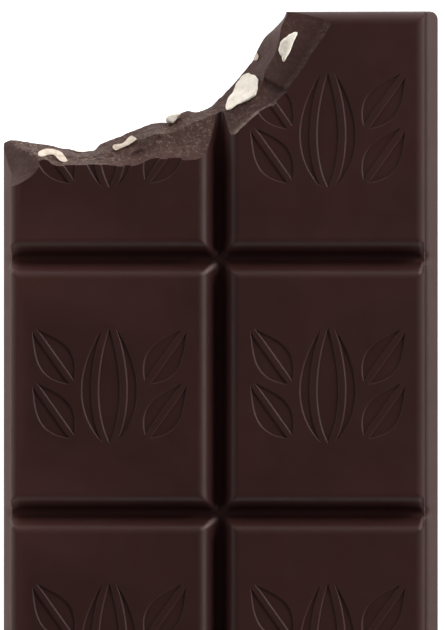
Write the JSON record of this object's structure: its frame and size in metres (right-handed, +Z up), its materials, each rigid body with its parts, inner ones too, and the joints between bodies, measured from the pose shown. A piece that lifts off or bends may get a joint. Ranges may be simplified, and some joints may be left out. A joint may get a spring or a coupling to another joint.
{
  "type": "chocolate bar",
  "caption": "Moulded dark chocolate bar of deep-grooved squares with a bite out of one corner, showing pale nut pieces in the break.",
  "frame": {"origin": "middle of the bar's flat underside", "axes": "+Y along the bar towards the bitten end, +X across it, +Z up out of the moulded squares"},
  "size_m": [0.063, 0.1448, 0.006],
  "materials": {
    "dark_chocolate": "moulded dark chocolate, satin gloss, matt and finely grainy where it is bitten",
    "nut_flesh": "bitten pale nut flesh, dull with a faint waxy sheen"
  },
  "bodies": {
    "root": {"chocolate": "dark_chocolate", "nut_chunk": "nut_flesh", "nut_leaf": "nut_flesh", "nut_crescent": "nut_flesh", "nut_slice": "nut_flesh", "nut_edge": "nut_flesh", "nut_sliver": "nut_flesh", "nut_crumb": "nut_flesh"}
  },
  "joints": []
}
